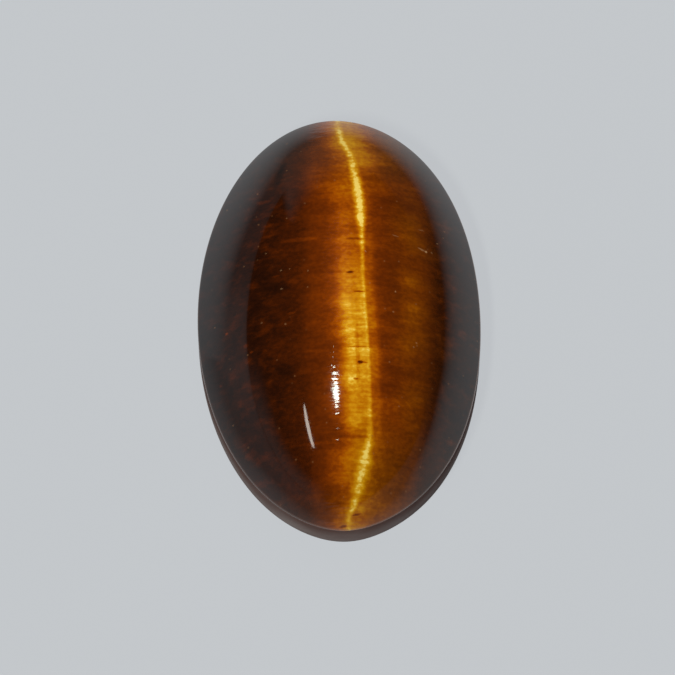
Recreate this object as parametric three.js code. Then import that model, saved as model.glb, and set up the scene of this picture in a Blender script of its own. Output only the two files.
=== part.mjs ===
// A polished tiger's eye cabochon: one piece of stone, cut as an oval with a high dome,
// a low side wall under a crisp girdle edge, and a flat base with a small chamfer.
// Millimetres, +Z up. The origin is the middle of the base. +Y runs along the stone's length,
// and the silky fibres lie along X, across it.
import * as THREE from "three";

// Driving dimensions.
const LENGTH = 15.2; // along Y, at the girdle
const WIDTH = 10.1; // along X, at the girdle
const WALL_HEIGHT = 1.8; // base to girdle edge
const DOME_HEIGHT = 4.0; // girdle edge to crown
const WALL_TAPER = 0.02; // how far the wall leans in between the girdle and the chamfer
const BASE_CHAMFER = 0.1; // width and height of the chamfer round the base

// Across the stone the dome is a parabola. Along it the crown stays flat for longer: 0 would be a
// parabola there too. The stone is longer than it is wide, so with this value the dome meets the
// girdle at about the same slope all round.
const LONG_FULLNESS = 0.5;
const FLANK_FLAT = 0.01; // share of the radius that hand grinding took off the +X flank
const CROWN_LEAN = 0.15; // how far the crown stands off the middle, along X
const TIP_POINT = 0.008; // share of the length by which the -Y tip stands out of the oval
const TIP_NARROWNESS = 24; // a larger number makes that tip narrower

// Facets.
const SEGMENTS = 96; // around the oval
const DOME_RINGS = 24; // from the girdle to the crown

// The flat flank makes the oval lopsided, so its radius is set and shifted to keep WIDTH and the middle.
const HALF_WIDTH = WIDTH / (2 - FLANK_FLAT);
const FLANK_SHIFT = (HALF_WIDTH * FLANK_FLAT) / 2;
const LENGTH_TO_WIDTH = LENGTH / (2 * HALF_WIDTH);
const STONE_COLOUR = 0x7a3f0c;

// The section across the stone, from the middle of the base out to the girdle edge.
function wallProfile() {
  const baseRadius = HALF_WIDTH - WALL_TAPER - BASE_CHAMFER;
  return [
    new THREE.Vector2(0, 0),
    new THREE.Vector2(baseRadius, 0),
    new THREE.Vector2(HALF_WIDTH - WALL_TAPER, BASE_CHAMFER),
    new THREE.Vector2(HALF_WIDTH, WALL_HEIGHT),
  ];
}

// The dome's rings, from just inside the girdle to the crown. Their heights are set for each
// direction by domeHeight.
function domeProfile() {
  const rings = [];
  for (let ring = 1; ring <= DOME_RINGS; ring += 1) {
    const radius = HALF_WIDTH * (1 - ring / DOME_RINGS);
    rings.push(new THREE.Vector2(radius, WALL_HEIGHT + DOME_HEIGHT));
  }
  return rings;
}

// Height of the dome above the girdle, at a share of the way out (0 at the crown, 1 at the girdle)
// in a direction around the oval.
function domeHeight(share, angle) {
  const filled = LONG_FULLNESS * Math.sin(angle) ** 2 * (1 - share ** 2);
  return DOME_HEIGHT * (1 - share ** 2 * (1 - filled));
}

// The outline's departure from a true oval: the +X flank is a little flat between its shoulders.
function flankShare(angle) {
  return 1 - FLANK_FLAT * Math.cos(4 * angle) * Math.max(0, Math.cos(angle));
}

// The -Y end is drawn in a little, all but its tip, which leaves that end slightly pointed.
function tipShare(angle) {
  const towardsTip = Math.max(0, -Math.sin(angle));
  return towardsTip > 0 ? 1 - TIP_POINT * (1 - towardsTip ** TIP_NARROWNESS) : 1;
}

// Turns the round lathe body into the stone: dome heights by direction, the oval outline with its
// flat flank and pointed end, and the crown that leans to one side.
function shapeStone(geometry) {
  const places = geometry.getAttribute("position");
  for (let i = 0; i < places.count; i += 1) {
    const x = places.getX(i);
    const y = places.getY(i);
    const angle = Math.atan2(y, x);
    const share = Math.hypot(x, y) / HALF_WIDTH;
    const isDome = places.getZ(i) > WALL_HEIGHT + DOME_HEIGHT / 2;
    const z = isDome ? WALL_HEIGHT + domeHeight(share, angle) : places.getZ(i);
    const flank = flankShare(angle);
    const lean = isDome ? CROWN_LEAN * (1 - share ** 2) : 0;
    const along = y * flank * LENGTH_TO_WIDTH * tipShare(angle);
    places.setXYZ(i, x * flank + FLANK_SHIFT + lean, along, z);
  }
  geometry.computeVertexNormals();
  return geometry;
}

function cabochon() {
  const profile = [...wallProfile(), ...domeProfile()];
  const geometry = new THREE.LatheGeometry(profile, SEGMENTS);
  geometry.rotateX(Math.PI / 2); // the lathe turns about Y, and the stone stands along Z
  const material = new THREE.MeshStandardMaterial({
    color: STONE_COLOUR,
    roughness: 0.12,
    metalness: 0,
  });
  const mesh = new THREE.Mesh(shapeStone(geometry), material);
  mesh.name = "cabochon";
  return mesh;
}

const part = new THREE.Group();
part.add(cabochon());

export default part;
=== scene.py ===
# %% [markdown]
# # A polished tiger's eye
# This lesson dresses one stone: an oval cabochon of tiger's eye with a high polished dome, a thin
# girdle edge, a low ground wall and a flat base. The solid that was made for size and weight is
# loaded first. It fixes where the stone stands and how big it is, and nothing here changes that.

# %% Load the frame
from math import asin, atan2, cos, pi, radians, sin

import bmesh
import bpy
from mathutils import Matrix, Vector, noise


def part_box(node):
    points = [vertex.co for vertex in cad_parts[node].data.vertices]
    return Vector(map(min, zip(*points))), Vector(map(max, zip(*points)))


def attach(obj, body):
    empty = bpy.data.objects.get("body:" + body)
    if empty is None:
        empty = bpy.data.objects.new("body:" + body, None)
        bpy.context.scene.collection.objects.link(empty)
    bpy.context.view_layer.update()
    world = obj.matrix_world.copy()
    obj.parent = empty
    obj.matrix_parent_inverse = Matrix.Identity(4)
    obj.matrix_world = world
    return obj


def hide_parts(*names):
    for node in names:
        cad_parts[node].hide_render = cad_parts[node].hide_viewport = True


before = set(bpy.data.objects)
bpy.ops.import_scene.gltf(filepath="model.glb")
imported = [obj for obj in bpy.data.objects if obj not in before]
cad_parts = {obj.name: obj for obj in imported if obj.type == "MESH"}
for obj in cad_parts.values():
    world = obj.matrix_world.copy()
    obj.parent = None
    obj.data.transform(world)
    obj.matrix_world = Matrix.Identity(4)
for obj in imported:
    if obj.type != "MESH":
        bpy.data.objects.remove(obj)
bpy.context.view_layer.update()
MM = 0.001  # the scene is in metres, and a stone is easier to think of in millimetres
low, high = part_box("cabochon")
width = high[0] - low[0]
length = high[1] - low[1]
height = high[2] - low[2]
print(f"the stone is {width / MM:.1f} by {length / MM:.1f} mm, and {height / MM:.1f} mm high")

# %% [markdown]
# ## The dome's curve
# A cutter grinds the dome by eye, rolling the stone against a wheel. The flanks come out almost
# straight, and only the crown is round. That is closer to a parabola than to a ball: a scaled
# sphere would stand upright at the girdle and mirror far too much of the floor. So one formula
# gives each point of the dome its place, from its share of the way out, 0 at the crown and 1 at
# the girdle, and its direction around the oval.

# %% The dome's curve
WALL_HEIGHT = 1.8 * MM
LONG_FULLNESS = 0.5  # how much longer the crown stays flat along the stone than across it
FLANK_FLAT = 0.01  # share of the radius that grinding took off the +X flank
CROWN_LEAN = 0.15 * MM  # how far the crown stands off the middle
TIP_POINT = 0.008  # share of the length by which the near tip stands out of the oval
TIP_NARROWNESS = 24  # a larger number makes that tip narrower

half_width = width / (2 - FLANK_FLAT)
flank_shift = half_width * FLANK_FLAT / 2
length_to_width = length / (2 * half_width)
dome_height = height - WALL_HEIGHT
stone_axis = Vector((flank_shift, 0, 0))


def dome_place(share, angle):
    """The point of the dome at a share of the way out and a direction."""
    flank = 1 - FLANK_FLAT * cos(4 * angle) * max(0, cos(angle))
    towards_tip = max(0, -sin(angle))
    tip = 1 - TIP_POINT * (1 - towards_tip ** TIP_NARROWNESS) if towards_tip > 0 else 1
    reach = half_width * share * flank
    across = reach * cos(angle) + CROWN_LEAN * (1 - share ** 2)
    along = reach * sin(angle) * length_to_width * tip
    filled = LONG_FULLNESS * sin(angle) ** 2 * (1 - share ** 2)
    rise = dome_height * (1 - share ** 2 * (1 - filled))
    return stone_axis + Vector((across, along, WALL_HEIGHT + rise))


crown = dome_place(0, 0)
print(f"the crown is {crown.z / MM:.2f} mm up and {crown.x / MM:.2f} mm off the middle")

# %% [markdown]
# ## Modelling the dome
# The dome could be a subdivided cage, but a cage shrinks as it is smoothed, and the size is
# fixed. A ball cut in half has the right layout from the start: rings that climb from the girdle
# to the crown. So create_uvsphere makes the ball, bisect_plane takes its lower half away, and each
# point is sent to its place on the dome's curve. Polishing by hand leaves slow waves a few
# thousandths of a millimetre high, too low to see as a shape. They bend the reflections a little,
# so that the stone doesn't look turned on a machine.

# %% Model the dome
SEGMENTS = 256  # around the oval
DOME_RINGS = 44  # from the girdle to the crown
CUT_TOLERANCE = 1e-5  # a point of the ball that is this close to the cut counts as on it
WAVE_HEIGHT = 0.004 * MM
WAVE_LENGTH = 2.6 * MM
WAVE_FADE = 0.25  # the climb over which the waves grow from nothing at the girdle

stone = bmesh.new()
bmesh.ops.create_uvsphere(stone, u_segments=SEGMENTS, v_segments=2 * DOME_RINGS, radius=1)
ball = stone.verts[:] + stone.edges[:] + stone.faces[:]
bmesh.ops.bisect_plane(stone, geom=ball, dist=CUT_TOLERANCE, plane_no=(0, 0, 1), clear_inner=True)

for point in stone.verts:
    climb = max(0, asin(min(1, point.co.z)) / (pi / 2))
    outward = point.co.normalized()
    place = dome_place(1 - climb, atan2(point.co.y, point.co.x))
    wave = noise.noise(place / WAVE_LENGTH) * min(1, climb / WAVE_FADE)
    point.co = place + outward * WAVE_HEIGHT * wave
print(f"the dome has {len(stone.faces)} faces")

# %% [markdown]
# ## Wall, chamfer and base
# Below the girdle the stone drops almost straight to the surface it lies on. The wall leans in a
# little, so that a setting can grip the girdle, and a small chamfer keeps the base from
# chipping. Each of these is one more ring: the open rim is extruded, lowered and drawn in. The
# wall takes several rings, so that smooth shading stays even over its height.

# %% Wall, chamfer and base
WALL_TAPER = 0.02 * MM
BASE_CHAMFER = 0.1 * MM
WALL_RINGS = 5


def next_ring(rim, drop, draw_in):
    """Extrudes an open rim, lowers the new ring and draws it in towards the stone's axis."""
    made = bmesh.ops.extrude_edge_only(stone, edges=rim)["geom"]
    points = [part for part in made if isinstance(part, bmesh.types.BMVert)]
    share = 1 - draw_in / half_width
    about = Matrix.Translation(-stone_axis)
    bmesh.ops.scale(stone, vec=(share, share, 1), verts=points, space=about)
    bmesh.ops.translate(stone, vec=(0, 0, -drop), verts=points)
    return [part for part in made if isinstance(part, bmesh.types.BMEdge)]


rim = [edge for edge in stone.edges if edge.is_boundary]
girdle = list(rim)
for _ in range(WALL_RINGS):
    rim = next_ring(rim, (WALL_HEIGHT - BASE_CHAMFER) / WALL_RINGS, WALL_TAPER / WALL_RINGS)
foot = list(rim)
rim = next_ring(rim, BASE_CHAMFER, BASE_CHAMFER)
heel = list(rim)
bmesh.ops.edgeloop_fill(stone, edges=rim)
print(f"the girdle, the foot and the heel have {len(girdle)} edges each")

# %% [markdown]
# ## The girdle edge
# No real edge is perfectly sharp. Polishing rounded the dome over just above the wall, and that
# narrow rounding mirrors the floor more and more strongly, up to the thin pale line at the near
# end. A bevel with many segments does the same, and smaller ones ease the two edges of the
# chamfer. The bevel gives back the faces it made, so that the girdle's can be polished too.

# %% Ease the edges
GIRDLE_EASE = 0.07 * MM
GIRDLE_STEPS = 8
FOOT_EASE = 0.03 * MM
FOOT_STEPS = 2
ROUND_PROFILE = 0.5  # the profile that makes a bevel round
SMOOTH_CORNERS = 4  # a face with more corners than this is the base, which stays flat
POLISHED, GROUND = 0, 1  # the stone's two material slots


def ease(edges, size, segments):
    """Rounds a ring of edges, and gives the new faces."""
    made = bmesh.ops.bevel(stone, geom=edges, offset=size, offset_type="OFFSET", affect="EDGES",
                           segments=segments, profile=ROUND_PROFILE, material=-1)
    return made["faces"]


for face in stone.faces:
    face.material_index = POLISHED if face.calc_center_median().z > WALL_HEIGHT else GROUND
    face.smooth = len(face.verts) <= SMOOTH_CORNERS
for face in ease(girdle, GIRDLE_EASE, GIRDLE_STEPS):
    face.material_index = POLISHED
    face.smooth = True
foot_edges = [edge for edge in foot + heel if edge.is_valid]
for face in ease(foot_edges, FOOT_EASE, FOOT_STEPS):
    face.smooth = True
bmesh.ops.recalc_face_normals(stone, faces=stone.faces[:])

stone_mesh = bpy.data.meshes.new("tigers_eye")
stone.to_mesh(stone_mesh)
stone.free()
cabochon = bpy.data.objects.new("tigers_eye", stone_mesh)
bpy.context.collection.objects.link(cabochon)
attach(cabochon, "root")
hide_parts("cabochon")
print(f"the stone has {len(stone_mesh.polygons)} faces")

# %% [markdown]
# ## Helpers for the finishes
# A finish is a small machine of nodes. These helpers place a node, feed its sockets with a number
# or with another node's output, and give back the output, so that a pattern reads like a sum.
# Patterns are worked out in the stone's own millimetres, from Object coordinates: x runs along
# the fibres, y along the length.

# %% Helpers for the finishes
def new_node(tree, kind, **settings):
    """A new shader node with its settings."""
    made = tree.nodes.new("ShaderNode" + kind)
    for name, value in settings.items():
        setattr(made, name, value)
    return made


def feed(tree, socket, source):
    """Gives a socket a plain value or another socket's output."""
    if isinstance(source, bpy.types.NodeSocket):
        tree.links.new(source, socket)
    else:
        socket.default_value = source


def sums(tree, operation, *sources):
    """One Math node."""
    made = new_node(tree, "Math", operation=operation)
    for socket, source in zip(made.inputs, sources):
        feed(tree, socket, source)
    return made.outputs["Value"]


def between(tree, value, start, end, first=0.0, last=1.0):
    """Goes smoothly from first to last as a value goes from start to end."""
    made = new_node(tree, "MapRange", interpolation_type="SMOOTHSTEP")
    for socket, source in zip(made.inputs, (value, start, end, first, last)):
        feed(tree, socket, source)
    return made.outputs["Result"]


def spread(tree, pattern, first, last):
    """Goes evenly from first to last as a pattern goes from 0 to 1."""
    return sums(tree, "MULTIPLY_ADD", pattern, last - first, first)


print("the helpers for nodes are ready")

# %% [markdown]
# ## Curves, places and noise
# Some shades follow no simple rule, and a Float Curve node draws them through a few points. A
# Mapping node scales each axis on its own, so that noise comes out stretched. Texture Coordinate
# gives the place on the stone in metres, and scaling it once keeps all patterns in millimetres.

# %% Curves, places and noise
def drawn(tree, value, points):
    """A curve drawn through a few points, read at a value. Its heights are from 0 to 1."""
    start, end = points[0][0], points[-1][0]
    span = new_node(tree, "MapRange")
    feed(tree, span.inputs["Value"], value)
    span.inputs["From Min"].default_value = start
    span.inputs["From Max"].default_value = end
    made = new_node(tree, "FloatCurve")
    feed(tree, made.inputs["Value"], span.outputs["Result"])
    curve = made.mapping.curves[0]
    while len(curve.points) < len(points):
        curve.points.new(0.5, 0.5)
    for point, (place, level) in zip(curve.points, points):
        point.location = ((place - start) / (end - start), level)
    made.mapping.update()
    return made.outputs["Value"]


def scaled(tree, place, scale):
    """A place with each axis scaled."""
    made = new_node(tree, "Mapping")
    feed(tree, made.inputs["Vector"], place)
    made.inputs["Scale"].default_value = scale
    return made.outputs["Vector"]


def axes_of(tree, place):
    """The x, the y and the z of a place."""
    made = new_node(tree, "SeparateXYZ")
    feed(tree, made.inputs["Vector"], place)
    return made.outputs["X"], made.outputs["Y"], made.outputs["Z"]


def cloudy(tree, place, detail=2.0):
    """Soft noise with features one unit wide."""
    made = new_node(tree, "TexNoise")
    feed(tree, made.inputs["Vector"], place)
    made.inputs["Scale"].default_value = 1.0
    made.inputs["Detail"].default_value = detail
    return made.outputs["Fac"]


def millimetres(tree):
    """The place on the stone, in millimetres."""
    made = new_node(tree, "TexCoord")
    return scaled(tree, made.outputs["Object"], (1 / MM, 1 / MM, 1 / MM))


print("the helpers for patterns are ready")

# %% [markdown]
# ## A finish on the stone
# The stone has two finishes, and so two material slots: one for the polished faces and one for the
# ground ones. Both start as a plain Principled shader, and both get a very low bump, which bends
# the light without moving any point of the mesh.

# %% A finish on the stone
def new_finish(name, index):
    """An empty material on one of the stone's slots."""
    made = bpy.data.materials.new(name)
    made.use_nodes = True
    while len(stone_mesh.materials) <= index:
        stone_mesh.materials.append(None)
    stone_mesh.materials[index] = made
    return made.node_tree, made.node_tree.nodes["Principled BSDF"]


def raise_bump(tree, shader, pattern, height):
    """Lets a pattern bend the light as if it stood up to a height."""
    made = new_node(tree, "Bump")
    made.inputs["Distance"].default_value = height
    feed(tree, made.inputs["Height"], pattern)
    feed(tree, shader.inputs["Normal"], made.outputs["Normal"])


print("the helpers for finishes are ready")

# %% [markdown]
# ## Fibres
# Tiger's eye is quartz full of parallel fibres, here lying across the stone. On the dome they show
# as hair-thin streaks along x, and on the ground wall as fine threads. Noise that is stretched
# along x gives both from one pattern, because it fills space like the real fibres do. Both finishes
# need it, so it is a node group, built once and placed in each material.

# %% Fibres
BUNDLE_SCALE = (0.7, 4.6, 0.3)  # features for each millimetre along x, y and z
THREAD_SCALE = (0.9, 14.0, 0.5)
GRAIN_SCALE = (6.0, 9.0, 3.0)
PATCH_SCALE = (0.7, 1.1, 0.4)
FIBRE_RANGE = (0.25, 0.75)  # the noise that counts as 0 and as 1


def fibre_group():
    """A node group with the patches, the bundles, the threads and the grain of the fibres."""
    group = bpy.data.node_groups.new("tigers eye fibres", "ShaderNodeTree")
    group.interface.new_socket("Place", in_out="INPUT", socket_type="NodeSocketVector")
    place = group.nodes.new("NodeGroupInput").outputs["Place"]
    result = group.nodes.new("NodeGroupOutput")
    names = ("Patches", "Bundles", "Threads", "Grain")
    scales = (PATCH_SCALE, BUNDLE_SCALE, THREAD_SCALE, GRAIN_SCALE)
    for name, scale in zip(names, scales):
        group.interface.new_socket(name, in_out="OUTPUT", socket_type="NodeSocketFloat")
        pattern = cloudy(group, scaled(group, place, scale))
        feed(group, result.inputs[name], between(group, pattern, *FIBRE_RANGE))
    return group


fibres = fibre_group()


def fibre_pattern(tree, place):
    """Places the fibres in a material. Their outputs go from 0 to 1."""
    made = new_node(tree, "Group", node_tree=fibres)
    feed(tree, made.inputs["Place"], place)
    return made.outputs


print(f"the fibre group has {len(fibres.nodes)} nodes")

# %% [markdown]
# ## Colours of the stone
# The same fibres look almost black, red-brown, orange or gold, by how much light they send back.
# So the pattern is worked out as one number, the glow, and a ramp turns it into colour. The
# colours are given as they look on the lit crown, and divided by the strength of the light there
# to get the colour of the surface itself.

# %% Colours of the stone
LIGHT_GAIN = 1.3  # how many times brighter than itself a colour looks on the lit crown
GLOW_COLOURS = (
    (0.0, (14, 4, 1)),
    (0.1, (30, 10, 3)),
    (0.2, (45, 16, 3)),
    (0.3, (64, 23, 2)),
    (0.4, (85, 32, 2)),
    (0.5, (104, 41, 2)),
    (0.6, (128, 53, 1)),
    (0.7, (160, 74, 1)),
    (0.8, (188, 106, 2)),
    (0.9, (214, 147, 18)),
    (0.95, (230, 176, 48)),
    (1.0, (250, 214, 104)),
)
MIX_SHARE, MIX_FIRST, MIX_SECOND = 0, 6, 7  # the inputs of a Mix node that mixes colours
MIX_RESULT = 2  # its output


def linear(channel):
    """A screen colour channel of 0 to 255 as an amount of light, by the sRGB curve."""
    share = channel / 255
    return share / 12.92 if share <= 0.04045 else ((share + 0.055) / 1.055) ** 2.4


def surface_colour(red, green, blue):
    """The surface colour that looks like a screen colour on the lit crown."""
    return [linear(channel) / LIGHT_GAIN for channel in (red, green, blue)] + [1.0]


def glow_ramp(tree, glow):
    """The stone's colour at a glow."""
    made = new_node(tree, "ValToRGB")
    feed(tree, made.inputs["Fac"], glow)
    stops = made.color_ramp.elements
    while len(stops) < len(GLOW_COLOURS):
        stops.new(1.0)
    for stop, (level, colour) in zip(stops, GLOW_COLOURS):
        stop.position = level
        stop.color = surface_colour(*colour)
    return made.outputs["Color"]


def mixed(tree, share, first, second, blend="MIX"):
    """Two colours mixed."""
    made = new_node(tree, "Mix", data_type="RGBA", blend_type=blend)
    for number, source in ((MIX_SHARE, share), (MIX_FIRST, first), (MIX_SECOND, second)):
        feed(tree, made.inputs[number], source)
    return made.outputs[MIX_RESULT]


print(f"the glow runs through {len(GLOW_COLOURS)} colours")

# %% [markdown]
# ## Curves of the cat's-eye
# Light that falls on parallel fibres comes back as a bright line across them. Over the dome that
# line bows to one side and swings back to the middle at both ends, with a broad golden band
# beside it. A real one glides when the stone is turned. Here it is painted where the light
# falls on the resting stone, which looks the same from every side and survives export. Each part
# of it is a drawn curve: the line's path, the body's glow from flank to flank, the band's
# section, and the strength of band, line and halo along the stone.

# %% Curves of the cat's-eye
LINE_PATH = (  # place along the stone, and how far the line lies to the right of its axis, in mm
    (-7.7, 0.10), (-7.35, 0.11), (-7.0, 0.28), (-6.6, 0.43), (-6.3, 0.52), (-5.9, 0.71),
    (-5.5, 0.78), (-5.1, 0.89), (-4.6, 0.96), (-2.0, 0.96), (0.7, 0.87), (2.5, 0.88), (3.5, 0.84),
    (4.5, 0.74), (5.6, 0.56), (6.9, 0.20), (7.7, 0.16),
)
BODY_GLOW = (  # place across the stone in mm, and glow
    (-5.2, 0.07), (-4.0, 0.12), (-3.0, 0.16), (-2.0, 0.25), (-1.5, 0.31), (-1.0, 0.44), (-0.6, 0.50),
    (0.0, 0.57), (0.8, 0.57), (1.5, 0.53), (2.0, 0.53), (2.5, 0.54), (3.0, 0.51), (3.3, 0.42),
    (3.7, 0.28), (4.3, 0.21), (5.2, 0.18),
)
BAND_SECTION = (  # place across, from the line, in mm, and share of the band's glow
    (-1.5, 0.0), (-1.2, 0.12), (-1.0, 0.36), (-0.8, 0.76), (-0.6, 1.0), (-0.4, 0.96), (-0.3, 0.92),
    (-0.2, 0.97), (-0.02, 1.0), (0.1, 0.66), (0.3, 0.52), (0.42, 0.25), (0.6, 0.04), (0.8, 0.0),
)
BAND_STRENGTH = (  # place along the stone in mm, and strength
    (-7.7, 0.0), (-6.6, 0.05), (-6.0, 0.2), (-5.0, 0.44), (-4.6, 0.62), (-3.6, 0.86), (-1.5, 1.0),
    (0.0, 0.84), (1.2, 0.68), (2.0, 0.42), (3.2, 0.42), (4.0, 0.2), (4.8, 0.08), (7.7, 0.05),
)
LINE_STRENGTH = (
    (-7.7, 0.3), (-7.0, 0.52), (-6.6, 0.62), (-6.1, 0.74), (-5.8, 0.72), (-5.3, 0.5), (-4.8, 0.38),
    (-3.6, 0.12), (-0.5, 0.1), (1.0, 0.28), (2.0, 0.55), (3.2, 0.9), (4.4, 0.88), (5.2, 0.62),
    (6.0, 0.48), (6.9, 0.48), (7.2, 0.36), (7.7, 0.38),
)
LINE_HALF_WIDTH = (  # in mm
    (-7.7, 0.16), (-7.1, 0.18), (-6.7, 0.32), (-6.2, 0.42), (-5.8, 0.4), (-5.2, 0.25), (-4.0, 0.14),
    (1.6, 0.14), (3.1, 0.3), (4.0, 0.31), (5.0, 0.25), (6.0, 0.22), (7.7, 0.2),
)
HALO_STRENGTH = (
    (-7.7, 0.85), (-6.8, 0.6), (-6.2, 0.5), (-4.8, 0.2), (-3.0, 0.0), (3.0, 0.0), (4.4, 0.3),
    (5.2, 0.65), (6.2, 0.85), (7.0, 0.95), (7.7, 1.0),
)
across_curves = (BODY_GLOW, BAND_SECTION)
along_curves = (LINE_PATH, BAND_STRENGTH, LINE_STRENGTH, LINE_HALF_WIDTH, HALO_STRENGTH)
print(f"{len(across_curves)} curves run across the stone and {len(along_curves)} along it")

# %% [markdown]
# ## The cat's-eye pattern
# The parts are added up to one glow: the band, the line and the halo are a painted highlight over
# the body's brown. Bundles and threads of fibre make each of them uneven. The flanks have rusty
# places, and painted shade darkens the far rim beside the line.

# %% The cat's-eye pattern
BAND_GLOW = 0.35
LINE_GLOW = 0.36
HALO_GLOW = 0.3
HALO_REACH = 1.4  # mm
HALO_SIDE = 0.25  # how far to the right of the line the halo is brightest, in mm
NARROWING = 0.006  # how fast the body's pattern narrows towards the ends
SKEW = -0.025  # how far it leans to one side for each millimetre along the stone
BUNDLE_SPREAD = (0.82, 0.95)  # what the darkest and the brightest bundle multiply the body by
PATCH_SPREAD = 0.22  # how much the brightest patch adds to that
WEAVE_SPREAD = (0.94, 1.06)  # what the threads multiply the band by
GRAIN_SPREAD = (0.88, 1.12)  # what the grain multiplies the line by
RUST_SCALE = (1.9, 3.0, 1.0)  # features for each millimetre
RUST_RANGE = (0.4, 0.82)  # the noise from which a rusty place begins, and where it is full
RUST_LEFT = (-1.2, -2.8)  # places across the stone between which rust comes in, in mm
RUST_RIGHT = (3.0, 3.8)
RUST_GLOW = 0.17
RIM_SHADE = (0.5, 0.35)  # how much of the body's glow the painted shade takes from the far rim, left and right
RIM_LEFT = (-0.8, -1.8)  # places across the stone between which that loss comes in, in mm
RIM_RIGHT = (1.5, 2.7)
RIM_DEPTH = (0.6, 0.95)  # the same on the way out, from 0 in the middle to 1 at the edge


def painted_far_rim_shade(tree, across, along):
    """The share of its glow that the body keeps under the painted shade of the far rim, beside the
    line.
    """
    out = sums(tree, "POWER", sums(tree, "DIVIDE", across, width / 2 / MM), 2.0)
    far = sums(tree, "DIVIDE", sums(tree, "MAXIMUM", along, 0.0), length / 2 / MM)
    oval = sums(tree, "MULTIPLY_ADD", far, far, out)
    left = between(tree, across, *RIM_LEFT, 0.0, RIM_SHADE[0])
    right = between(tree, across, *RIM_RIGHT, 0.0, RIM_SHADE[1])
    beside = sums(tree, "ADD", left, right)
    shade = sums(tree, "MULTIPLY", between(tree, oval, *RIM_DEPTH), beside)
    return sums(tree, "SUBTRACT", 1.0, shade)


def cats_eye(tree, place, fibre):
    """The glow of the dome's fibres, with the cat's-eye's painted highlight and the far rim's
    painted shade.
    """
    across, along, _ = axes_of(tree, place)
    from_line = sums(tree, "SUBTRACT", across, drawn(tree, along, LINE_PATH))
    off_line = sums(tree, "ABSOLUTE", from_line)

    streaks = spread(tree, fibre["Bundles"], *BUNDLE_SPREAD)
    streaks = sums(tree, "MULTIPLY_ADD", fibre["Patches"], PATCH_SPREAD, streaks)
    weave = spread(tree, fibre["Threads"], *WEAVE_SPREAD)
    narrowed = sums(tree, "MULTIPLY_ADD", sums(tree, "POWER", along, 2.0), NARROWING, 1.0)
    skewed = sums(tree, "MULTIPLY_ADD", along, SKEW, across)
    body = drawn(tree, sums(tree, "MULTIPLY", skewed, narrowed), BODY_GLOW)
    body = sums(tree, "MULTIPLY", body, streaks)
    # painted shade darkens the body towards the far rim, beside the line
    body = sums(tree, "MULTIPLY", body, painted_far_rim_shade(tree, across, along))
    band = sums(tree, "MULTIPLY", drawn(tree, from_line, BAND_SECTION), weave)
    band = sums(tree, "MULTIPLY", band, drawn(tree, along, BAND_STRENGTH))
    near_line = between(tree, off_line, drawn(tree, along, LINE_HALF_WIDTH), 0.0)
    line = sums(tree, "MULTIPLY", near_line, drawn(tree, along, LINE_STRENGTH))
    line = sums(tree, "MULTIPLY", line, spread(tree, fibre["Grain"], *GRAIN_SPREAD))
    off_halo = sums(tree, "ABSOLUTE", sums(tree, "SUBTRACT", from_line, HALO_SIDE))
    halo = between(tree, off_halo, HALO_REACH, 0.0)
    halo = sums(tree, "MULTIPLY", halo, drawn(tree, along, HALO_STRENGTH))

    left_flank = between(tree, across, *RUST_LEFT)
    right_flank = between(tree, across, *RUST_RIGHT)
    flanks = sums(tree, "ADD", left_flank, right_flank)
    rust = cloudy(tree, scaled(tree, place, RUST_SCALE))
    rust = sums(tree, "MULTIPLY", between(tree, rust, *RUST_RANGE), flanks)

    glow = sums(tree, "MULTIPLY_ADD", band, BAND_GLOW, body)
    glow = sums(tree, "MULTIPLY_ADD", halo, HALO_GLOW, glow)
    glow = sums(tree, "MULTIPLY_ADD", rust, RUST_GLOW, glow)
    return sums(tree, "MULTIPLY_ADD", line, LINE_GLOW, glow)


print(f"the band adds {BAND_GLOW} to the glow, the line {LINE_GLOW} and the halo {HALO_GLOW}")

# %% [markdown]
# ## Small marks
# A natural stone has breaks in its fibres, which show as short dark dashes on the band, and a few
# brighter streaks in its dark side. A worn one has tiny nicks and pits too, and ridges that the
# polish left. Broader marks darken or lighten wider places, and one dark line along the far left
# rim is painted shade. Scattering them by chance would put them in the wrong places, so the larger
# ones are listed. Each is an ellipse on the dome, with its place, its size, its turn and its
# strength.

# %% Small marks
BREAKS_AND_RIM_SHADE = (  # x, y, half length, half width in mm, turn in degrees, and how much glow is taken away
    (0.42, 0.82, 0.17, 0.06, 5, 0.32),
    (0.72, 0.10, 0.26, 0.045, -3, 0.22),
    (0.66, -2.44, 0.12, 0.08, 0, 0.36),
    (0.76, -2.44, 0.26, 0.04, -4, 0.16),
    (0.50, -3.02, 0.13, 0.05, 0, 0.2),
    (0.60, -1.90, 0.5, 0.04, 0, 0.12),
    (0.66, 2.1, 0.5, 0.06, 0, 0.14),
    (0.35, -4.92, 1.1, 0.09, 0, 0.07),
    (0.59, -2.2, 0.1, 1.7, 0, 0.06),
    (0.40, -7.19, 0.2, 0.04, 8, 0.2),
    (-0.08, -7.5, 0.2, 0.05, 5, 0.22),
    (-0.1, 0.85, 0.5, 0.07, 0, 0.05),
    (-2.2, 0.5, 0.6, 0.25, 0, 0.06),
    (-1.75, 3.6, 0.3, 0.25, 0, 0.07),
    (-0.7, 1.0, 0.5, 0.3, 0, 0.06),
    (1.9, 3.3, 1.1, 1.2, 0, 0.05),
    (2.2, -5.2, 1.2, 0.9, 0, 0.06),
    # painted shade: a dark line along the far left rim
    (-1.97, 5.05, 0.8, 0.17, 70, 0.1),
    (-0.5, -6.9, 0.6, 0.9, 0, 0.06),
    (-1.9, -2.5, 0.5, 0.4, 0, 0.07),
    (4.1, -3.4, 0.9, 2.6, 0, 0.06),
)
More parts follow.
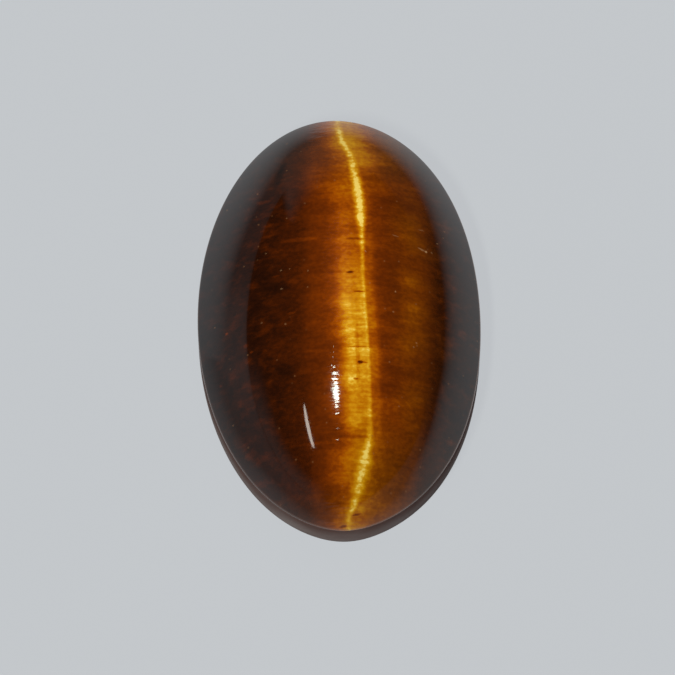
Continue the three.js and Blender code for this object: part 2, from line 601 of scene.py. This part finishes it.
STREAKS = (  # the same, and how much glow is added
    (-1.35, 2.22, 1.0, 0.11, -3, 0.12),
    (-2.3, 3.0, 0.4, 0.12, -6, 0.09),
    (-1.5, 3.1, 0.3, 0.08, -5, 0.07),
    (-1.6, 0.66, 0.3, 0.14, 0, 0.09),
    (-1.7, -0.48, 0.22, 0.07, 0, 0.12),
    (-2.2, 1.0, 0.2, 0.06, 0, 0.1),
    (-2.6, 1.75, 0.8, 0.06, 0, 0.05),
    (-0.8, -1.98, 0.55, 0.09, -4, 0.09),
    (-1.0, -5.05, 1.0, 0.08, -3, 0.08),
    (-2.6, 4.05, 0.4, 0.12, -10, 0.12),
    (-2.5, 2.6, 0.3, 0.1, 0, 0.08),
    (2.7, 0.6, 0.8, 2.2, 0, 0.05),
    (-0.6, 4.2, 0.9, 1.1, 0, 0.06),
    (-0.95, 5.4, 0.7, 0.9, 0, 0.05),
    (-2.7, 2.8, 0.7, 0.8, 0, 0.04),
    (-4.03, -0.6, 0.07, 0.07, 0, 0.3),
    (-3.16, -1.54, 0.09, 0.07, 0, 0.2),
    (-3.37, -1.26, 0.12, 0.1, 0, 0.14),
    (-3.5, -1.9, 0.4, 0.3, 0, 0.08),
    (-4.3, -2.34, 0.08, 0.08, 0, 0.18),
    (-3.3, -4.9, 0.3, 0.2, 0, 0.1),
    (4.4, -0.8, 0.25, 0.3, 0, 0.12),
    (3.8, -4.6, 0.2, 0.15, 0, 0.12),
)
NICKS = (  # pale scratches
    (3.15, 1.93, 0.07, 0.05, -30, 0.8),
    (3.0, 1.98, 0.2, 0.04, -20, 0.4),
    (2.07, 2.33, 0.16, 0.035, -15, 0.2),
    (3.01, 2.75, 0.14, 0.035, 0, 0.2),
    (3.57, 2.38, 0.06, 0.045, 0, 0.25),
    (3.35, 1.95, 0.06, 0.05, 0, 0.25),
    (0.98, 1.62, 0.08, 0.03, -40, 0.4),
)
PITS = (  # x, y, half width in mm, and strength
    (-1.77, 3.15, 0.04, 0.2), (-1.08, 0.99, 0.04, 0.3), (-2.04, 1.17, 0.04, 0.25),
    (-1.72, 1.17, 0.04, 0.2), (-2.03, 0.48, 0.05, 0.2), (-2.78, -0.6, 0.05, 0.15),
    (-1.93, -0.84, 0.05, 0.2), (-2.56, 1.95, 0.05, 0.15), (-1.11, 3.64, 0.04, 0.15),
    (2.0, 0.19, 0.05, 0.45), (1.91, -0.56, 0.05, 0.25), (2.7, -1.56, 0.05, 0.25),
    (2.59, -1.72, 0.05, 0.25), (1.71, -2.38, 0.05, 0.2), (2.02, -3.84, 0.05, 0.15),
)
RIDGES = (  # tiny polishing ridges that break up the highlight, and their share of POLISH_HEIGHT
    (-0.28, -1.84, 0.05, 0.05, 0, 0.5),
    (-0.27, -2.05, 0.04, 0.05, 0, 0.45),
    (-0.29, -2.2, 0.06, 0.05, 0, 0.45),
    (-0.24, -2.56, 0.1, 0.06, 0, 0.4),
    (-0.26, -2.72, 0.12, 0.06, 0, 0.32),
    (-0.21, -4.2, 0.2, 0.07, 0, 0.42),
    (-0.22, -4.68, 0.15, 0.055, 0, 0.55),
    (-0.23, -5.03, 0.17, 0.06, 0, 0.75),
)
print(f"{len(BREAKS_AND_RIM_SHADE)} breaks and {len(STREAKS)} streaks are placed")
print(f"{len(NICKS)} nicks, {len(PITS)} pits and {len(RIDGES)} ridges are placed")

# %% [markdown]
# ## Drawing the marks
# A Mapping node in texture mode moves, turns and shrinks space until a mark's ellipse is a ball of
# size one, and the distance from its middle fades the mark out. A little noise is added to the
# place first, which makes the outline ragged. The noise averages a half, so the middle is moved by
# half of the raggedness too, and the mark stays where it belongs.

# %% Drawing the marks
MARK_RAGGEDNESS = (0.1, 0.05, 0.0)  # mm across the stone, along it and up
RAGGED_SCALE = 9.0  # ragged bits for each millimetre
MARK_DEPTH = 1000.0  # mm: a mark runs straight down through the stone
MARK_FADE = (1.0, 0.3)  # where a mark begins and where it is full, as a share of its size


def marks(tree, place, spots):
    """The sum of some soft, slightly ragged elliptical marks."""
    ragged = new_node(tree, "TexNoise")
    feed(tree, ragged.inputs["Vector"], place)
    ragged.inputs["Scale"].default_value = RAGGED_SCALE
    shift = new_node(tree, "VectorMath", operation="MULTIPLY_ADD")
    feed(tree, shift.inputs[0], ragged.outputs["Color"])
    shift.inputs[1].default_value = MARK_RAGGEDNESS
    feed(tree, shift.inputs[2], place)
    total = 0.0
    for across, along, half_long, half_wide, degrees, strength in spots:
        space = new_node(tree, "Mapping", vector_type="TEXTURE")
        feed(tree, space.inputs["Vector"], shift.outputs["Vector"])
        middle = Vector((across, along, 0)) + Vector(MARK_RAGGEDNESS) / 2
        space.inputs["Location"].default_value = middle
        space.inputs["Rotation"].default_value = (0, 0, radians(degrees))
        space.inputs["Scale"].default_value = (half_long, half_wide, MARK_DEPTH)
        reach = new_node(tree, "VectorMath", operation="LENGTH")
        feed(tree, reach.inputs[0], space.outputs["Vector"])
        mark = between(tree, reach.outputs["Value"], *MARK_FADE)
        total = sums(tree, "MULTIPLY_ADD", mark, strength, total)
    return total


def round_marks(spots):
    """Round spots, written as elliptical marks."""
    return tuple((x, y, size, size, 0, strength) for x, y, size, strength in spots)


print(f"a mark's edge is ragged by up to {max(MARK_RAGGEDNESS)} mm")

# %% [markdown]
# ## Specks and golden places
# The finest pits are too many to list. A Voronoi pattern cuts the dome into cells, and some of
# them get one pale speck. The brown of the stone isn't the same everywhere either: towards both
# ends and the right flank it is more golden. One mask says where, and the colour is multiplied
# there.

# %% Specks and golden places
SPECK_SPACING = 0.55  # mm
SPECK_REACH = 0.05  # mm
SPECK_CHOICE = (0.7, 1.0)  # the lot that gives a cell a faint speck and a full one
SPECK_SHARE = 0.4
GOLDEN_FAR = (3.4, 6.8)  # places along the stone between which it turns golden at the far end, in mm
GOLDEN_FAR_SIDE = (0.8, 2.4)  # places across it, in mm, and how golden it is there
GOLDEN_FAR_SHARE = (0.36, 0.9)
GOLDEN_NEAR = (-3.4, -6.8)  # the same at the near end
GOLDEN_NEAR_SIDE = (0.0, 1.0)
GOLDEN_NEAR_SHARE = 0.5
GOLDEN_TIP = (-6.0, -7.3)
GOLDEN_TIP_SHARE = 0.3
GOLDEN_FLANK = (1.4, 2.8)  # places across the stone, in mm
GOLDEN_FLANK_SHARE = 0.32
GOLDEN_PATCHES = (0.5, 1.3)
GOLDEN_LIMIT = (0.75, 0.95)  # the glow from which it fades out, because the band is golden already


def specks(tree, place):
    """Tiny round pits in some cells of a Voronoi pattern."""
    cells = new_node(tree, "TexVoronoi", voronoi_dimensions="2D")
    feed(tree, cells.inputs["Vector"], place)
    cells.inputs["Scale"].default_value = 1 / SPECK_SPACING
    lot = new_node(tree, "SeparateColor")
    feed(tree, lot.inputs["Color"], cells.outputs["Color"])
    chosen = between(tree, lot.outputs["Red"], *SPECK_CHOICE, 0.0, SPECK_SHARE)
    near = between(tree, cells.outputs["Distance"], SPECK_REACH / SPECK_SPACING, 0.0)
    return sums(tree, "MULTIPLY", near, chosen)


def golden_places(tree, across, along, patches, glow):
    """How golden the brown is, from 0 to 1."""
    far_side = between(tree, across, *GOLDEN_FAR_SIDE, *GOLDEN_FAR_SHARE)
    far = sums(tree, "MULTIPLY", between(tree, along, *GOLDEN_FAR), far_side)
    near_side = between(tree, across, *GOLDEN_NEAR_SIDE)
    near = between(tree, along, *GOLDEN_NEAR, 0.0, GOLDEN_NEAR_SHARE)
    near = sums(tree, "MULTIPLY", near, near_side)
    tip = between(tree, along, *GOLDEN_TIP, 0.0, GOLDEN_TIP_SHARE)
    flank = between(tree, across, *GOLDEN_FLANK, 0.0, GOLDEN_FLANK_SHARE)
    flank = sums(tree, "MULTIPLY", flank, spread(tree, patches, *GOLDEN_PATCHES))
    golden = sums(tree, "MAXIMUM", far, tip)
    golden = sums(tree, "MAXIMUM", golden, sums(tree, "MAXIMUM", near, flank))
    return sums(tree, "MULTIPLY", golden, between(tree, glow, *GOLDEN_LIMIT, 1.0, 0.0))


print(f"one speck fits in each {SPECK_SPACING} mm")

# %% [markdown]
# ## The polished dome
# Quartz takes a glassy polish, so the dome is a smooth dielectric over the painted fibres. Its
# index of refraction, 1.54, sets how strongly it mirrors the floor towards the rim. Along the
# crown the fibres polish a little unevenly, which a very low bump shows as a broken end to the
# highlight.

# %% The polished dome
QUARTZ_IOR = 1.54
POLISH = (0.05, 0.09)  # the roughness of the flanks and of the crown
POLISH_SCALE = (2.5, 9.0, 0.5)  # features for each millimetre
POLISH_HEIGHT = 0.012 * MM
POLISH_WAVES = 0.8  # the waves' share of that height
WORN_AT = -0.2  # where the unevenly polished strip of the crown lies, in mm across the stone
WORN_REACH = (0.9, 0.4)  # how far from there it begins and is full, in mm
GOLDEN = (1.0, 1.85, 1.0, 1.0)  # what a golden place multiplies the brown by
GRAIN_GLOW = 0.08
NICK_COLOUR = (190, 145, 100)
SPECK_COLOUR = (150, 104, 66)
PAINTED_EDGE_LIGHT_COLOUR = (150, 104, 80)  # painted light on the girdle edge: the thin edge lit up pale, with its highlight
PAINTED_EDGE_LIGHT_SHARE = (0.16, 0.55)  # on the left and at the near end, and on the right flank
PAINTED_EDGE_LIGHT_TURN = (2.4, 4.6)  # places across the stone between which that share changes, in mm
PAINTED_EDGE_LIGHT_REACH = (1.88, 1.82)  # heights between which that painted light comes in, in mm


def polish_dome():
    """The material of the dome."""
    tree, shader = new_finish("polished tigers eye", POLISHED)
    place = millimetres(tree)
    fibre = fibre_pattern(tree, place)
    glow = cats_eye(tree, place, fibre)
    glow = sums(tree, "SUBTRACT", glow, marks(tree, place, BREAKS_AND_RIM_SHADE))
    glow = sums(tree, "ADD", glow, marks(tree, place, STREAKS))
    grain = sums(tree, "SUBTRACT", fibre["Grain"], 0.5)
    glow = sums(tree, "MULTIPLY_ADD", grain, GRAIN_GLOW, glow)

    across, along, up = axes_of(tree, place)
    golden = golden_places(tree, across, along, fibre["Patches"], glow)
    colour = mixed(tree, golden, glow_ramp(tree, glow), GOLDEN, "MULTIPLY")
    colour = mixed(tree, specks(tree, place), colour, surface_colour(*SPECK_COLOUR))
    pale = marks(tree, place, NICKS + round_marks(PITS))
    colour = mixed(tree, pale, colour, surface_colour(*NICK_COLOUR))
    # painted light: the girdle edge is lit up pale brown, as light through the thin edge and its
    # highlight would make it
    edge_light_share = between(tree, across, *PAINTED_EDGE_LIGHT_TURN, *PAINTED_EDGE_LIGHT_SHARE)
    edge = sums(tree, "MULTIPLY", between(tree, up, *PAINTED_EDGE_LIGHT_REACH), edge_light_share)
    colour = mixed(tree, edge, colour, surface_colour(*PAINTED_EDGE_LIGHT_COLOUR))
    feed(tree, shader.inputs["Base Color"], colour)
    shader.inputs["IOR"].default_value = QUARTZ_IOR

    off_crown = sums(tree, "ABSOLUTE", sums(tree, "SUBTRACT", across, WORN_AT))
    worn = between(tree, off_crown, *WORN_REACH)
    feed(tree, shader.inputs["Roughness"], between(tree, worn, 0.0, 1.0, *POLISH))
    waves = cloudy(tree, scaled(tree, place, POLISH_SCALE), detail=1)
    uneven = sums(tree, "MULTIPLY", waves, sums(tree, "MULTIPLY", worn, POLISH_WAVES))
    uneven = sums(tree, "ADD", uneven, marks(tree, place, RIDGES))
    raise_bump(tree, shader, uneven, POLISH_HEIGHT)


polish_dome()
print("the dome is polished")

# %% [markdown]
# ## The ground wall and the base
# Below the girdle the stone is only ground, not polished. Without the polish the fibres are duller,
# and the wall mirrors nothing. The glowing floor's light and reflection are painted on instead: the
# wall is brownest just under the girdle, in painted shade, and paler grey towards the foot. The
# fibre group is turned on its side for it, so that the fine threads run along the wall instead of
# down it.

# %% The ground wall and the base
GROUND_ROUGHNESS = (0.5, 0.65)  # in the threads and between them
GROUND_GLOW = (0.3, 0.42)
GROUND_THREADS = 0.5  # the threads' share of the pattern, beside the grain
GROUND_RANGE = (0.2, 1.3)  # the pattern's darkest and brightest sum
# painted light: the floor's glow and reflection on the wall, paler towards the foot
PAINTED_FOOT_LIGHT_COLOUR = (142, 129, 126)
PAINTED_FOOT_LIGHT = (0.42, 0.95)  # how much painted light lies just under the girdle, where it is in painted shade, and at the foot
PAINTED_FOOT_LIGHT_REACH = (1.7, 0.2)  # the heights of those two places, in mm
PAINTED_FOOT_LIGHT_PATCHES = (0.8, 1.1)
GRIND_HEIGHT = 0.004 * MM


def grind_wall():
    """The material of the wall, the chamfer and the base."""
    tree, shader = new_finish("ground tigers eye", GROUND)
    place = millimetres(tree)
    across, along, up = axes_of(tree, place)
    turned = new_node(tree, "CombineXYZ")
    for socket, axis in zip(turned.inputs, (across, up, along)):
        feed(tree, socket, axis)
    fibre = fibre_pattern(tree, turned.outputs["Vector"])
    streaks = sums(tree, "MULTIPLY_ADD", fibre["Threads"], GROUND_THREADS, fibre["Grain"])
    colour = glow_ramp(tree, between(tree, streaks, *GROUND_RANGE, *GROUND_GLOW))
    # painted light from the floor, paler towards the foot, and painted shade just under the girdle
    painted_foot_light = between(tree, up, *PAINTED_FOOT_LIGHT_REACH, *PAINTED_FOOT_LIGHT)
    painted_foot_light = sums(tree, "MULTIPLY", painted_foot_light, spread(tree, fibre["Patches"], *PAINTED_FOOT_LIGHT_PATCHES))
    colour = mixed(tree, painted_foot_light, colour, surface_colour(*PAINTED_FOOT_LIGHT_COLOUR))
    feed(tree, shader.inputs["Base Color"], colour)
    roughness = between(tree, fibre["Threads"], 0.0, 1.0, *GROUND_ROUGHNESS)
    feed(tree, shader.inputs["Roughness"], roughness)
    shader.inputs["IOR"].default_value = QUARTZ_IOR
    shader.inputs["Specular IOR Level"].default_value = 0.0
    raise_bump(tree, shader, fibre["Threads"], GRIND_HEIGHT)


grind_wall()
print("the wall and the base are ground")

# %% [markdown]
# ## The floor
# A glossy stone shows what stands around it. The floor is a pale light table: it glows by itself,
# so the stone hardly throws a shadow on it. In a mirror the table is seen at a low angle, where it
# looks darker with distance. So rays that come from a mirror are given a floor that fades out with
# distance. Two drawn curves say where that fade ends in each direction, and how much light is left
# there.

# %% The floor
FLOOR_REACH = 3.0  # metres
FLOOR_GAP = 0.01 * MM  # keeps the floor from sharing a plane with the base
FLOOR_COLOUR = (0.05, 0.05, 0.05, 1.0)
FLOOR_LIGHT = (0.482, 0.504, 0.528, 1.0)
FLOOR_DARK = (0.004, 0.004, 0.004, 1.0)
FADE_START = 8.5  # mm from the middle of the stone
FADE_SPAN = 50.0  # mm, the distance that 1 stands for in the next curve
FADE_END = (  # direction in degrees, 0 to the right and 90 to the far end, and where the fade ends
    (-180, 0.30), (-150, 0.40), (-130, 0.58), (-90, 0.56), (-60, 0.50), (-30, 0.80), (0, 0.56),
    (30, 0.40), (60, 0.31), (80, 0.28), (105, 0.30), (120, 0.40), (150, 0.52), (180, 0.30),
)
FADE_REST = (  # direction, and the share of light that is left
    (-180, 0.52), (-160, 0.42), (-140, 0.38), (-115, 0.30), (-90, 0.22), (-60, 0.20), (-30, 0.14),
    (-10, 0.02), (60, 0.05), (90, 0.10), (120, 0.20), (150, 0.20), (165, 0.42), (180, 0.52),
)
FADE_HALVING = 1000.0  # mm over which that rest falls to a half


def stage_piece(name, mesh_maker):
    """A new object of the stage, made in a mesh."""
    shape = bmesh.new()
    mesh_maker(shape)
    mesh = bpy.data.meshes.new(name)
    shape.to_mesh(mesh)
    shape.free()
    made = bpy.data.objects.new(name, mesh)
    bpy.context.collection.objects.link(made)
    material = bpy.data.materials.new(name)
    material.use_nodes = True
    mesh.materials.append(material)
    shader = material.node_tree.nodes["Principled BSDF"]
    shader.inputs["Roughness"].default_value = 1.0
    shader.inputs["Specular IOR Level"].default_value = 0.0
    shader.inputs["Emission Strength"].default_value = 1.0
    return made, material.node_tree, shader


def floor_sheet(shape):
    """A wide square just under the stone."""
    bmesh.ops.create_grid(shape, x_segments=1, y_segments=1, size=FLOOR_REACH)
    bmesh.ops.translate(shape, vec=(0, 0, -FLOOR_GAP), verts=shape.verts[:])


def floor_fade(tree):
    """The share of the floor's light that a mirror shows, by direction and distance."""
    across, along, _ = axes_of(tree, millimetres(tree))
    direction = sums(tree, "DEGREES", sums(tree, "ARCTAN2", along, across))
    square = sums(tree, "MULTIPLY_ADD", along, along, sums(tree, "MULTIPLY", across, across))
    distance = sums(tree, "SQRT", square)
    fade_end = sums(tree, "MULTIPLY", drawn(tree, direction, FADE_END), FADE_SPAN)
    nearness = between(tree, distance, FADE_START, fade_end, 1, 0)
    rest = drawn(tree, direction, FADE_REST)
    lost = sums(tree, "SUBTRACT", 1.0, rest)
    rest = sums(tree, "DIVIDE", rest, sums(tree, "MULTIPLY_ADD", distance, 1 / FADE_HALVING, 1.0))
    return sums(tree, "MULTIPLY_ADD", nearness, lost, rest)


floor, floor_tree, floor_shader = stage_piece("floor", floor_sheet)
mirrored = new_node(floor_tree, "LightPath").outputs["Is Glossy Ray"]
faded = sums(floor_tree, "SUBTRACT", 1.0, floor_fade(floor_tree))
darkening = sums(floor_tree, "MULTIPLY", mirrored, faded)
for socket_name, colour in (("Emission Color", FLOOR_LIGHT), ("Base Color", FLOOR_COLOUR)):
    seen = mixed(floor_tree, darkening, colour, FLOOR_DARK)
    feed(floor_tree, floor_shader.inputs[socket_name], seen)
print(f"the {floor.name} reaches {FLOOR_REACH} m to each side")

# %% [markdown]
# ## The dark room
# Everything over the floor is dark, so that the middle of the dome shows the stone's own colours
# and only the rim mirrors the table. Low on the near left the room is a little lighter: the
# direction of each ray says how much of that haze it sees.

# %% The dark room
WHITE = (1.0, 1.0, 1.0, 1.0)
BLACK = (0.0, 0.0, 0.0, 1.0)
ROOM_LIGHT = 0.012
HAZE_LIGHT = 0.2
HAZE_HEIGHT = 0.18  # the steepest ray that still sees the haze
HAZE_SIDE = Vector((-0.848, -0.53, 0))
HAZE_SPREAD = (0.75, 0.98)  # how closely a ray has to point to that side

scene = bpy.context.scene
room = bpy.data.worlds.new("dark room")
room.use_nodes = True
room_tree = room.node_tree
ray = new_node(room_tree, "TexCoord").outputs["Generated"]
ray_rise = axes_of(room_tree, ray)[2]
sideways = new_node(room_tree, "VectorMath", operation="DOT_PRODUCT")
feed(room_tree, sideways.inputs[0], ray)
sideways.inputs[1].default_value = HAZE_SIDE
haze = between(room_tree, ray_rise, HAZE_HEIGHT, 0.0, 0.0, HAZE_LIGHT)
towards_haze = between(room_tree, sideways.outputs["Value"], *HAZE_SPREAD)
haze = sums(room_tree, "MULTIPLY", haze, towards_haze)
background = room_tree.nodes["Background"]
background.inputs["Color"].default_value = WHITE
feed(room_tree, background.inputs["Strength"], sums(room_tree, "ADD", haze, ROOM_LIGHT))
scene.world = room
scene.view_settings.view_transform = "Standard"
print(f"the room gives {ROOM_LIGHT} of light, and up to {HAZE_LIGHT} more in the haze")

# %% [markdown]
# ## A card behind the stone
# The far slope of the dome shows a faint grey veil, brighter to the left: something pale stands
# behind the stone, out of the picture. A small grey card does that. Its left and upper edges slant
# and fade out to clear, so that the floor behind it shows through. Only mirror rays see it.

# %% A card behind the stone
CARD_AT = 13.5 * MM  # along the stone, from its middle
CARD_SIDES = (-13.5 * MM, 5.5 * MM)
CARD_HEIGHT = 12.0 * MM
CARD_FADE = (3.0, 8.5)  # heights between which it fades out, in mm
CARD_SLANT = 0.25  # how much higher it reaches for each millimetre to the left
CARD_LEAN = 0.85  # how much further left it reaches for each millimetre up
CARD_EDGE = (-7.2, -4.6)  # where it fades in from the left at the floor, in mm
CARD_LIGHT = (0.19, 0.06)  # at the left and the right side


def upright_card(shape):
    """A rectangle that stands on the floor across the stone's length."""
    left, right = CARD_SIDES
    corners = ((left, 0), (right, 0), (right, CARD_HEIGHT), (left, CARD_HEIGHT))
    shape.faces.new([shape.verts.new((side, CARD_AT, up)) for side, up in corners])


card, card_tree, card_shader = stage_piece("card", upright_card)
card.visible_camera = False
card.visible_diffuse = False
card.visible_shadow = False
card.visible_transmission = False
card_across, _, card_up = axes_of(card_tree, millimetres(card_tree))
card_sides = [side / MM for side in CARD_SIDES]
card_glow = between(card_tree, card_across, *card_sides, *CARD_LIGHT)
leaning = sums(card_tree, "MULTIPLY_ADD", card_up, CARD_LEAN, card_across)
left_edge = between(card_tree, leaning, *CARD_EDGE)
slanted = sums(card_tree, "MULTIPLY_ADD", card_across, CARD_SLANT, card_up)
top_edge = between(card_tree, slanted, *CARD_FADE, 1, 0)
feed(card_tree, card_shader.inputs["Alpha"], sums(card_tree, "MULTIPLY", left_edge, top_edge))
feed(card_tree, card_shader.inputs["Emission Strength"], card_glow)
card_shader.inputs["Emission Color"].default_value = WHITE
card_shader.inputs["Base Color"].default_value = BLACK
print(f"the card is {(CARD_SIDES[1] - CARD_SIDES[0]) / MM:.1f} mm wide")

# %% [markdown]
# ## The camera
# The camera looks down on the stone from its near end, from far enough away for the outline to
# stay almost free of perspective. Its place is a direction and a distance from the middle of the
# base, and its lens fits a known width of floor into the frame.

# %% The camera
CAMERA_ELEVATION = radians(74.3)
CAMERA_AZIMUTH = radians(-1.76)
CAMERA_DISTANCE = 0.8  # metres
CAMERA_CLIP = 0.01  # metres, the nearest thing that the camera sees
FRAME_PIXELS = 675
PIXELS_PER_MM = 27.966
BASE_AT = (339.13, 338.53)  # the pixel where the middle of the base is seen

camera_data = bpy.data.cameras.new("camera")
camera = bpy.data.objects.new("camera", camera_data)
bpy.context.collection.objects.link(camera)
to_camera = Vector((
    cos(CAMERA_ELEVATION) * sin(CAMERA_AZIMUTH),
    -cos(CAMERA_ELEVATION) * cos(CAMERA_AZIMUTH),
    sin(CAMERA_ELEVATION),
))
turn = to_camera.to_track_quat("Z", "Y")
frame_width = FRAME_PIXELS / PIXELS_PER_MM * MM
camera_data.lens = camera_data.sensor_width * CAMERA_DISTANCE / frame_width
aside = (FRAME_PIXELS / 2 - BASE_AT[0]) / PIXELS_PER_MM * MM
above = (BASE_AT[1] - FRAME_PIXELS / 2) / PIXELS_PER_MM * MM
camera.rotation_euler = turn.to_euler()
camera.location = to_camera * CAMERA_DISTANCE + turn @ Vector((aside, above, 0))
camera_data.clip_start = CAMERA_CLIP
scene.camera = camera
print(f"the lens is {camera_data.lens:.0f} mm long")

# %% [markdown]
# ## The light
# The key is a softbox on the left, above the near end. A mirror would show it as a blinding white
# patch, so it is kept out of mirrors, and a weaker light in front of it, the shine, leaves one tall
# highlight on the crown. A large fill over the far end evens out the light on the dome, without
# shadow or reflection. A narrow strip on the left leaves the second, thinner streak. The shine and
# the strip are tinted a little, because the brown under them turns white light pink. The camera
# sees none of them.

# %% The light
KEY_DISTANCE = 2.0  # metres from the stone, and so are the other lights' distances
KEY_SIZE = (0.24, 0.54)  # metres, and so are the other sizes
KEY_POWER = 21.5  # watts, and so are the other powers
KEY_DIRECTION = Vector((-0.245, -0.356, 0.902))
SHINE_DISTANCE = 1.9
SHINE_POWER = 9.5
SHINE_COLOUR = (0.85, 1.0, 0.88)
FILL_DISTANCE = 1.5
FILL_SIZE = (1.2, 1.2)
FILL_POWER = 18.5
FILL_DIRECTION = Vector((0.0, 0.45, 0.9))
STRIP_DISTANCE = 0.6
STRIP_SIZE = (0.03, 0.25)
STRIP_POWER = 0.16
STRIP_COLOUR = (1.0, 0.93, 0.82)
STRIP_ENDS = (Vector((-0.76, -0.34, 0.55)), Vector((-0.61, -0.69, 0.39)))


def soft_light(name, direction, upward, distance, size, power, colour=WHITE[:3]):
    """An oval of light that faces the stone from a direction, tall along upward."""
    data = bpy.data.lights.new(name, "AREA")
    data.shape = "ELLIPSE"
    data.size, data.size_y = size
    data.energy = power
    data.color = colour
    made = bpy.data.objects.new(name, data)
    bpy.context.collection.objects.link(made)
    back = direction.normalized()
    side = upward.cross(back).normalized()
    axes = Matrix((side, back.cross(side), back)).transposed()
    made.matrix_world = Matrix.Translation(back * distance) @ axes.to_4x4()
    made.visible_camera = False
    return made


length_axis = Vector((0, 1, 0))
key = soft_light("key", KEY_DIRECTION, length_axis, KEY_DISTANCE, KEY_SIZE, KEY_POWER)
key.visible_glossy = False
soft_light("shine", KEY_DIRECTION, length_axis, SHINE_DISTANCE, KEY_SIZE, SHINE_POWER,
           SHINE_COLOUR)
fill = soft_light("fill", FILL_DIRECTION, length_axis, FILL_DISTANCE, FILL_SIZE, FILL_POWER)
fill.visible_glossy = False
fill.data.use_shadow = False
strip_middle = STRIP_ENDS[0] + STRIP_ENDS[1]
strip_run = STRIP_ENDS[0] - STRIP_ENDS[1]
soft_light("strip", strip_middle, strip_run, STRIP_DISTANCE, STRIP_SIZE, STRIP_POWER,
           STRIP_COLOUR)
print("four lights are set")
